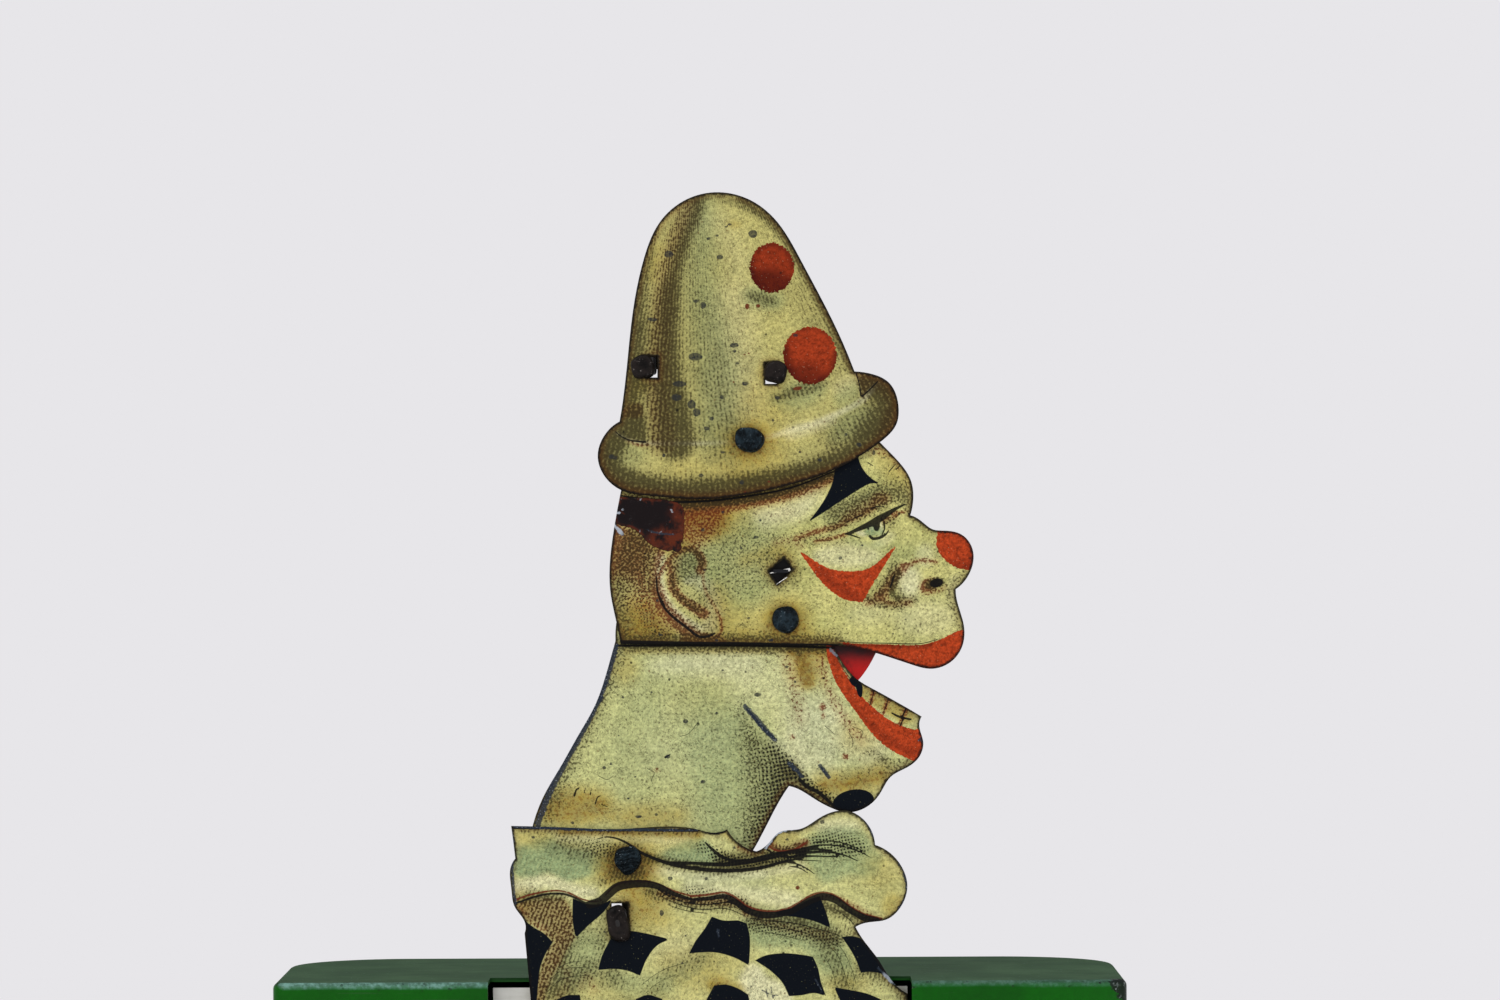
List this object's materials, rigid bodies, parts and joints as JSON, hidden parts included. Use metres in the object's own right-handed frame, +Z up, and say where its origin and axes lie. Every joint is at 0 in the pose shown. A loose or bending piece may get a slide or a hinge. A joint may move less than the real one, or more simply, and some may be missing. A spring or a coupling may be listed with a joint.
{
  "type": "clockwork figure toy",
  "caption": "Flat jointed tin clown on a painted clockwork case; a spring-driven crank rocks the neck, links nod the head and tip the hat.",
  "frame": {"origin": "centre of the underside of the case", "axes": "+X to the figure's facing side, +Y from the figure to the key, +Z up"},
  "size_m": [0.1132, 0.0663, 0.1514],
  "materials": {
    "green_paint": "gloss stoved green paint, worn at the bends",
    "printed_tin": "lithographed tin, aged varnish, rust at the rivets",
    "mouth_red": "flat red paint",
    "tinplate": "pale tinplate with fine scratches",
    "turned_steel": "turned steel",
    "plated_screws": "dull nickel plate",
    "figure_rivets": "darkened steel with rust",
    "key_plating": "nickel plate",
    "spring_steel": "blued spring steel",
    "brass": "aged brass"
  },
  "bodies": {
    "case": {"case_shell": "green_paint", "base_plate": "tinplate", "case_screws": "plated_screws", "key_escutcheon": "brass", "front_plate": "tinplate", "rear_plate": "tinplate", "pillars": "turned_steel", "pillar_nuts": "plated_screws", "base_rivets": "plated_screws", "click_screw": "plated_screws", "click_spring": "spring_steel", "stop_lever_screw": "plated_screws", "torso_plate": "printed_tin", "torso_bracket": "tinplate", "bracket_rivets": "figure_rivets", "torso_link_pin": "figure_rivets", "torso_standoffs": "turned_steel", "torso_screws": "plated_screws", "neck_rivet": "figure_rivets"},
    "neck": {"neck_plate": "printed_tin", "neck_link_pin": "figure_rivets", "rod_rivet": "figure_rivets"},
    "head": {"head_plate": "printed_tin", "mouth_lining": "mouth_red", "head_rivet": "figure_rivets", "mouth_link_pin": "figure_rivets", "hat_rivet": "figure_rivets"},
    "hat": {"hat_plate": "printed_tin", "hat_bracket": "tinplate", "hat_link_pin": "figure_rivets"},
    "head_push_link": {"head_link": "tinplate"},
    "hat_push_link": {"hat_link": "tinplate"},
    "drive_rod_body": {"drive_rod": "tinplate"},
    "winder": {"winding_arbor": "turned_steel", "ratchet_wheel": "turned_steel", "winding_key": "key_plating", "key_pin": "turned_steel"},
    "click_body": {"click": "turned_steel"},
    "barrel": {"great_wheel": "brass", "barrel_drum": "brass", "barrel_lid": "brass", "mainspring": "spring_steel", "spring_rivet": "turned_steel"},
    "centre": {"centre_arbor": "turned_steel", "centre_pinion": "turned_steel", "centre_wheel": "brass"},
    "crank": {"crank_arbor": "turned_steel", "crank_pinion": "turned_steel", "crank_wheel": "brass", "crank_disc": "tinplate", "crank_pin": "turned_steel"},
    "fly": {"fly_arbor": "turned_steel", "fly_pinion": "turned_steel", "fly_blades": "tinplate", "brake_disc": "brass"},
    "stop_lever_body": {"stop_lever": "tinplate"}
  },
  "joints": [
    {"name": "neck_rock", "type": "hinge", "parent": "case", "child": "neck", "pos_m": [-0.0089, -0.018, 0.0681], "axis": [0, 1, 0], "range_deg": [0, 11]},
    {"name": "head_nod", "type": "hinge", "parent": "neck", "child": "head", "pos_m": [0.0109, -0.018, 0.0979], "axis": [0, 1, 0], "range_deg": [0, 17]},
    {"name": "hat_tip", "type": "hinge", "parent": "head", "child": "hat", "pos_m": [0.0065, -0.018, 0.1204], "axis": [0, 1, 0], "range_deg": [0, 7]},
    {"name": "head_link_swing", "type": "hinge", "parent": "case", "child": "head_push_link", "pos_m": [-0.00065, -0.018, 0.061], "axis": [0, 1, 0], "range_deg": [0, 11]},
    {"name": "hat_link_swing", "type": "hinge", "parent": "neck", "child": "hat_push_link", "pos_m": [0.0068, -0.018, 0.0954], "axis": [0, 1, 0], "range_deg": [0, 17]},
    {"name": "drive_rod_swing", "type": "hinge", "parent": "neck", "child": "drive_rod_body", "pos_m": [-0.002, -0.018, 0.034], "axis": [0, 1, 0], "range_deg": [-22.5, 0]},
    {"name": "key_turn", "type": "hinge", "parent": "case", "child": "winder", "pos_m": [-0.022, 0, 0.025], "axis": [0, 1, 0], "continuous": true},
    {"name": "click_lift", "type": "hinge", "parent": "case", "child": "click_body", "pos_m": [-0.013, 0.011, 0.0326], "axis": [0, 1, 0], "range_deg": [0, 10], "stiffness_Nm_per_rad": 0.001, "springref_deg": -2.86, "deforming": ["click_spring"]},
    {"name": "barrel_turn", "type": "hinge", "parent": "case", "child": "barrel", "pos_m": [-0.022, 0, 0.025], "axis": [0, 1, 0], "continuous": true},
    {"name": "centre_turn", "type": "hinge", "parent": "case", "child": "centre", "pos_m": [-0.00147, 0, 0.01753], "axis": [0, 1, 0], "continuous": true},
    {"name": "crank_turn", "type": "hinge", "parent": "case", "child": "crank", "pos_m": [0.01075, 0, 0.0264], "axis": [0, 1, 0], "continuous": true},
    {"name": "fly_turn", "type": "hinge", "parent": "case", "child": "fly", "pos_m": [0.02165, 0, 0.03037], "axis": [0, 1, 0], "continuous": true},
    {"name": "stop_lever_swing", "type": "hinge", "parent": "case", "child": "stop_lever_body", "pos_m": [0.034, 0.008, 0.02], "axis": [0, 1, 0], "range_deg": [0, 5]}
  ],
  "couplings": [
    {"joint": "head_nod", "follows": "neck_rock", "ratio": 1.52},
    {"joint": "hat_tip", "follows": "neck_rock", "ratio": 0.61},
    {"joint": "head_link_swing", "follows": "neck_rock", "ratio": 0.9625},
    {"joint": "hat_link_swing", "follows": "neck_rock", "ratio": 1.5},
    {"joint": "drive_rod_swing", "follows": "neck_rock", "ratio": -2.016},
    {"joint": "barrel_turn", "follows": "centre_turn", "ratio": -0.20833},
    {"joint": "crank_turn", "follows": "centre_turn", "ratio": -4},
    {"joint": "fly_turn", "follows": "centre_turn", "ratio": 14.4}
  ]
}
